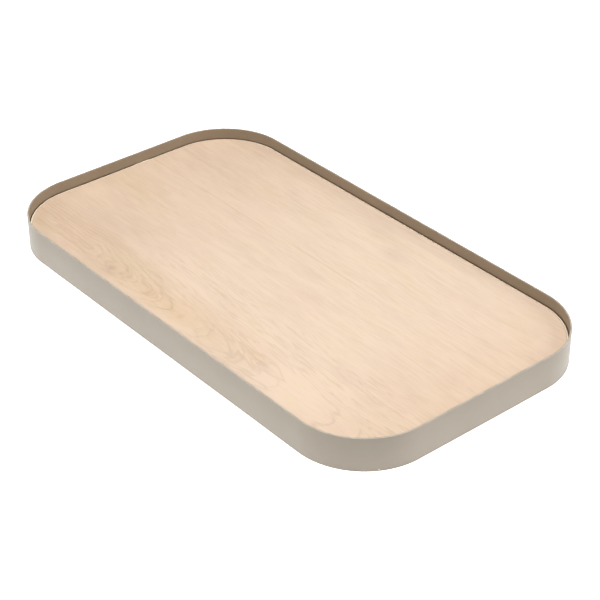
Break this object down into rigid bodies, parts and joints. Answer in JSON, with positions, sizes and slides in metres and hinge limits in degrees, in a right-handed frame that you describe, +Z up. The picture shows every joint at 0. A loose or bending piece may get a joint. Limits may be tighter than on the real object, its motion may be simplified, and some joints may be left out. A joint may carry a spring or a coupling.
{
  "type": "serving tray",
  "caption": "Low rectangular serving tray with rounded corners: a pale oak board set inside a plain painted steel rim, on rubber feet.",
  "frame": {"origin": "on the table under the middle of the tray, level with the undersides of the feet", "axes": "+X along the length to the right, +Y across the width to the rear, +Z up"},
  "size_m": [0.45, 0.25, 0.03],
  "materials": {
    "rim_paint": "fine matt powder coat, warm greige",
    "oak_face": "pale oak veneer with a clear matt lacquer, grain along the length",
    "oak_edging": "pale oak edging strip with a clear matt lacquer",
    "oak_back": "plain oak balancing veneer, sanded and lacquered once",
    "plywood": "bare birch plywood",
    "zinc_steel": "bright zinc plate",
    "foot_rubber": "matt black rubber"
  },
  "bodies": {
    "root": {"rim_band": "rim_paint", "support_tab_front_left": "rim_paint", "support_tab_front_middle": "rim_paint", "support_tab_front_right": "rim_paint", "support_tab_rear_left": "rim_paint", "support_tab_rear_middle": "rim_paint", "support_tab_rear_right": "rim_paint", "support_tab_left_end": "rim_paint", "support_tab_right_end": "rim_paint", "board_core": "plywood", "face_veneer": "oak_face", "back_veneer": "oak_back", "edge_band": "oak_edging", "board_screws": "zinc_steel", "foot_screws": "zinc_steel", "foot_washers": "zinc_steel", "foot_front_left": "foot_rubber", "foot_front_right": "foot_rubber", "foot_rear_left": "foot_rubber", "foot_rear_right": "foot_rubber"}
  },
  "joints": []
}
